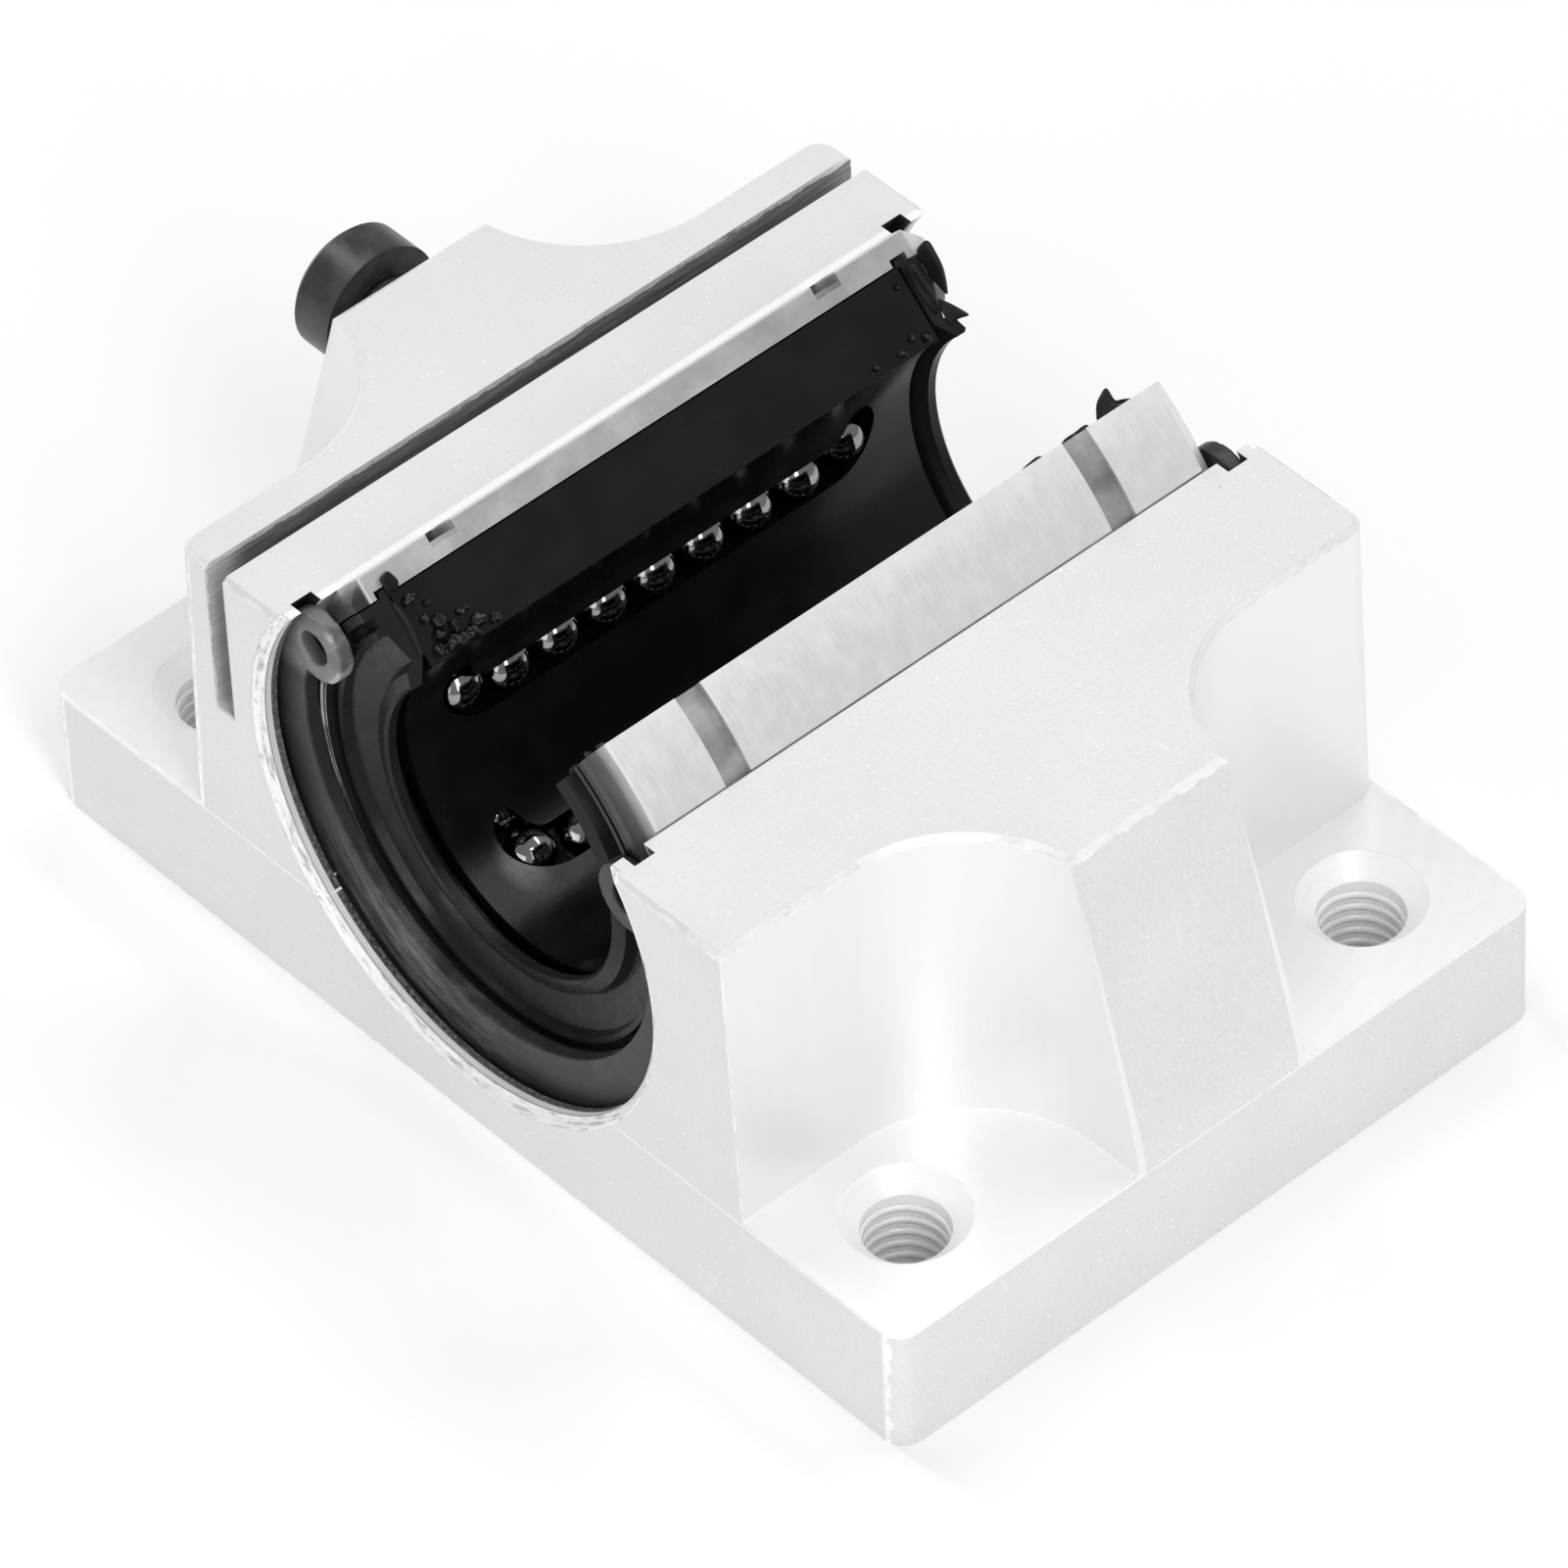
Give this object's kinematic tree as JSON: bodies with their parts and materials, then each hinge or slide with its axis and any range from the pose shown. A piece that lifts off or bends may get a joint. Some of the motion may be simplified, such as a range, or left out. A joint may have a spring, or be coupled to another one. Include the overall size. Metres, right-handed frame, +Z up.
{
  "type": "linear bearing block",
  "caption": "Open linear bearing block: a flanged aluminium housing with a slotted ball bushing for a shaft on a support rail, with recirculating ball circuits and a clamping slit",
  "frame": {"origin": "bottom centre of the mounting face, under the middle of the bore", "axes": "+X across the bore, towards the side without the slit and screw; +Y along the bore, towards the rear; +Z up from the mounting face to the opening"},
  "size_m": [0.0627, 0.042, 0.0285],
  "materials": {
    "aluminium_housing": "blasted and clear anodised, milled pockets brighter",
    "bearing_steel": "ground",
    "black_resin": "moulded, oiled",
    "black_rubber": "smooth, oiled",
    "spring_steel": "phosphated dark grey",
    "black_screw_steel": "black oxide",
    "ball_steel": "polished"
  },
  "bodies": {
    "block": {"housing": "aluminium_housing", "outer_sleeve": "bearing_steel", "ball_retainer": "black_resin", "front_seal": "black_rubber", "rear_seal": "black_rubber", "front_retaining_ring": "spring_steel", "rear_retaining_ring": "spring_steel"},
    "adjusting_screw": {"adjusting_screw": "black_screw_steel"},
    "left_upper_load_balls": {"left_upper_load_balls": "ball_steel"},
    "left_upper_return_balls": {"left_upper_return_balls": "ball_steel"},
    "left_upper_front_turn_balls": {"left_upper_front_turn_balls": "ball_steel"},
    "left_upper_rear_turn_balls": {"left_upper_rear_turn_balls": "ball_steel"},
    "left_lower_load_balls": {"left_lower_load_balls": "ball_steel"},
    "left_lower_return_balls": {"left_lower_return_balls": "ball_steel"},
    "left_lower_front_turn_balls": {"left_lower_front_turn_balls": "ball_steel"},
    "left_lower_rear_turn_balls": {"left_lower_rear_turn_balls": "ball_steel"},
    "right_lower_load_balls": {"right_lower_load_balls": "ball_steel"},
    "right_lower_return_balls": {"right_lower_return_balls": "ball_steel"},
    "right_lower_front_turn_balls": {"right_lower_front_turn_balls": "ball_steel"},
    "right_lower_rear_turn_balls": {"right_lower_rear_turn_balls": "ball_steel"},
    "right_upper_load_balls": {"right_upper_load_balls": "ball_steel"},
    "right_upper_return_balls": {"right_upper_return_balls": "ball_steel"},
    "right_upper_front_turn_balls": {"right_upper_front_turn_balls": "ball_steel"},
    "right_upper_rear_turn_balls": {"right_upper_rear_turn_balls": "ball_steel"}
  },
  "joints": [
    {"name": "adjusting_screw_turn", "type": "hinge", "parent": "block", "child": "adjusting_screw", "pos_m": [-0.0289, 0, 0.0206], "axis": [1, 0, 0], "range_deg": [-180, 90]},
    {"name": "left_upper_load_slide", "type": "slide", "parent": "block", "child": "left_upper_load_balls", "axis": [0, 1, 0], "range_m": [-0.00155, 0.00155]},
    {"name": "left_upper_return_slide", "type": "slide", "parent": "block", "child": "left_upper_return_balls", "axis": [0, 1, 0], "range_m": [-0.00156, 0.00156]},
    {"name": "left_upper_front_turn", "type": "hinge", "parent": "block", "child": "left_upper_front_turn_balls", "pos_m": [-0.00958, -0.01111, 0.01819], "axis": [0.9944, 0, 0.1056], "range_deg": [-44.26, 44.26]},
    {"name": "left_upper_rear_turn", "type": "hinge", "parent": "block", "child": "left_upper_rear_turn_balls", "pos_m": [-0.00958, 0.01111, 0.01819], "axis": [0.9944, 0, 0.1056], "range_deg": [-44.26, 44.26]},
    {"name": "left_lower_load_slide", "type": "slide", "parent": "block", "child": "left_lower_load_balls", "axis": [0, 1, 0], "range_m": [-0.00155, 0.00155]},
    {"name": "left_lower_return_slide", "type": "slide", "parent": "block", "child": "left_lower_return_balls", "axis": [0, 1, 0], "range_m": [-0.00156, 0.00156]},
    {"name": "left_lower_front_turn", "type": "hinge", "parent": "block", "child": "left_lower_front_turn_balls", "pos_m": [-0.00582, -0.01111, 0.0093], "axis": [0.4058, 0, 0.914], "range_deg": [-44.26, 44.26]},
    {"name": "left_lower_rear_turn", "type": "hinge", "parent": "block", "child": "left_lower_rear_turn_balls", "pos_m": [-0.00582, 0.01111, 0.0093], "axis": [0.4058, 0, 0.914], "range_deg": [-44.26, 44.26]},
    {"name": "right_lower_load_slide", "type": "slide", "parent": "block", "child": "right_lower_load_balls", "axis": [0, 1, 0], "range_m": [-0.00155, 0.00155]},
    {"name": "right_lower_return_slide", "type": "slide", "parent": "block", "child": "right_lower_return_balls", "axis": [0, 1, 0], "range_m": [-0.00156, 0.00156]},
    {"name": "right_lower_front_turn", "type": "hinge", "parent": "block", "child": "right_lower_front_turn_balls", "pos_m": [0.00707, -0.01111, 0.01043], "axis": [0.5583, 0, -0.8296], "range_deg": [-44.26, 44.26]},
    {"name": "right_lower_rear_turn", "type": "hinge", "parent": "block", "child": "right_lower_rear_turn_balls", "pos_m": [0.00707, 0.01111, 0.01043], "axis": [0.5583, 0, -0.8296], "range_deg": [-44.26, 44.26]},
    {"name": "right_upper_load_slide", "type": "slide", "parent": "block", "child": "right_upper_load_balls", "axis": [0, 1, 0], "range_m": [-0.00155, 0.00155]},
    {"name": "right_upper_return_slide", "type": "slide", "parent": "block", "child": "right_upper_return_balls", "axis": [0, 1, 0], "range_m": [-0.00156, 0.00156]},
    {"name": "right_upper_front_turn", "type": "hinge", "parent": "block", "child": "right_upper_front_turn_balls", "pos_m": [0.00922, -0.01111, 0.01983], "axis": [0.9976, 0, 0.0687], "range_deg": [-44.26, 44.26]},
    {"name": "right_upper_rear_turn", "type": "hinge", "parent": "block", "child": "right_upper_rear_turn_balls", "pos_m": [0.00922, 0.01111, 0.01983], "axis": [0.9976, 0, 0.0687], "range_deg": [-44.26, 44.26]}
  ],
  "couplings": [
    {"joint": "left_upper_return_slide", "follows": "left_upper_load_slide", "ratio": -1},
    {"joint": "left_upper_front_turn", "follows": "left_upper_load_slide", "rad_per_m": 495.05},
    {"joint": "left_upper_rear_turn", "follows": "left_upper_load_slide", "rad_per_m": 495.05},
    {"joint": "left_lower_return_slide", "follows": "left_lower_load_slide", "ratio": -1},
    {"joint": "left_lower_front_turn", "follows": "left_lower_load_slide", "rad_per_m": 495.05},
    {"joint": "left_lower_rear_turn", "follows": "left_lower_load_slide", "rad_per_m": 495.05},
    {"joint": "right_lower_return_slide", "follows": "right_lower_load_slide", "ratio": -1},
    {"joint": "right_lower_front_turn", "follows": "right_lower_load_slide", "rad_per_m": 495.05},
    {"joint": "right_lower_rear_turn", "follows": "right_lower_load_slide", "rad_per_m": 495.05},
    {"joint": "right_upper_return_slide", "follows": "right_upper_load_slide", "ratio": -1},
    {"joint": "right_upper_front_turn", "follows": "right_upper_load_slide", "rad_per_m": 495.05},
    {"joint": "right_upper_rear_turn", "follows": "right_upper_load_slide", "rad_per_m": 495.05}
  ]
}
